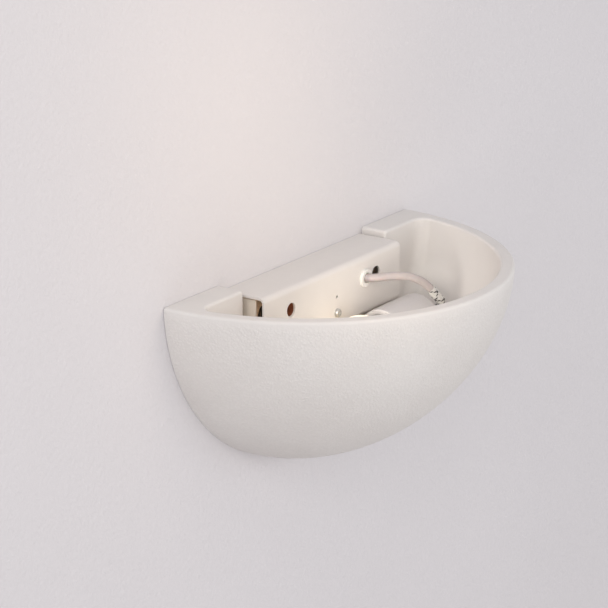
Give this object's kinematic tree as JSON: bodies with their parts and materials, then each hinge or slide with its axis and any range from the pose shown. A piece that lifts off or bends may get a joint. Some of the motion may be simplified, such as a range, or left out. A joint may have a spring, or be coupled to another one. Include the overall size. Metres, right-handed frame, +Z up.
{
  "type": "uplighter wall sconce",
  "caption": "Quarter-bowl wall uplighter that hangs on a folded wall bracket with a covered terminal space, a side-facing screw lampholder on an arm and a looped lead.",
  "frame": {"origin": "on the wall plane, midway between the two wall-screw slots", "axes": "+X along the wall, +Y into the wall, +Z up; the room is on the -Y side"},
  "size_m": [0.3, 0.1619, 0.148],
  "materials": {
    "cast": "matt off-white cast body, finely pebbled outside",
    "white_sheet": "satin white powder coat",
    "zinc_sheet": "satin off-white",
    "steel": "zinc-plated",
    "white_rubber": "smooth",
    "black_rubber": "smooth",
    "lead_sheath": "smooth silicone",
    "braid": "black and white braided glass sleeve",
    "brown_core": "smooth",
    "blue_core": "smooth",
    "green_core": "smooth",
    "brass": "plain",
    "block_plastic": "moulded",
    "clamp_plastic": "moulded",
    "holder_plastic": "satin moulded",
    "base_plastic": "plain",
    "opal": "opal diffuser",
    "lamp_plastic": "moulded",
    "lamp_cap_metal": "rolled",
    "board": "white solder mask",
    "emitter": "phosphor",
    "lamp_glass_black": "moulded"
  },
  "bodies": {
    "fixture": {"cover": "white_sheet", "lampholder_arm": "white_sheet", "wall_tray": "zinc_sheet", "cover_pillar": "steel", "cover_screw": "steel", "earth_washer": "steel", "earth_screw": "steel", "block_screw": "steel", "cord_clamp_screws": "steel", "arm_rivets": "steel", "nipple": "steel", "nipple_nut": "steel", "nipple_washer": "steel", "holder_terminal_screws": "steel", "terminal_screws": "steel", "lead_grommet": "white_rubber", "entry_grommet": "black_rubber", "lamp_lead": "lead_sheath", "braided_sleeve": "braid", "live_core": "brown_core", "neutral_core": "blue_core", "earth_link": "green_core", "terminal_clamps": "brass", "thread_shell": "brass", "centre_contact": "brass", "side_contact": "brass", "earth_lug": "brass", "terminal_block": "block_plastic", "cord_clamp_base": "clamp_plastic", "cord_clamp_bridge": "clamp_plastic", "holder_shell": "holder_plastic", "holder_cap": "holder_plastic", "holder_base": "base_plastic"},
    "bowl": {"bowl": "cast"},
    "lamp_slider": {"lamp_tip": "brass", "lamp_insulator": "lamp_glass_black"},
    "lamp": {"lamp_dome": "opal", "lamp_collar": "lamp_plastic", "lamp_cap": "lamp_cap_metal", "lamp_board": "board", "lamp_emitters": "emitter", "lamp_driver": "board"}
  },
  "joints": [
    {"name": "bowl_lift", "type": "slide", "parent": "fixture", "child": "bowl", "axis": [0, 0, 1], "range_m": [0, 0.014]},
    {"name": "lamp_travel", "type": "slide", "parent": "fixture", "child": "lamp_slider", "axis": [-1, 0, 0], "range_m": [0, 0.0221]},
    {"name": "lamp_turn", "type": "hinge", "parent": "lamp_slider", "child": "lamp", "pos_m": [0, -0.06, -0.037], "axis": [-1, 0, 0], "range_deg": [0, 2182.4]}
  ],
  "couplings": [
    {"joint": "lamp_travel", "follows": "lamp_turn", "m_per_rad": 0.00057757}
  ]
}
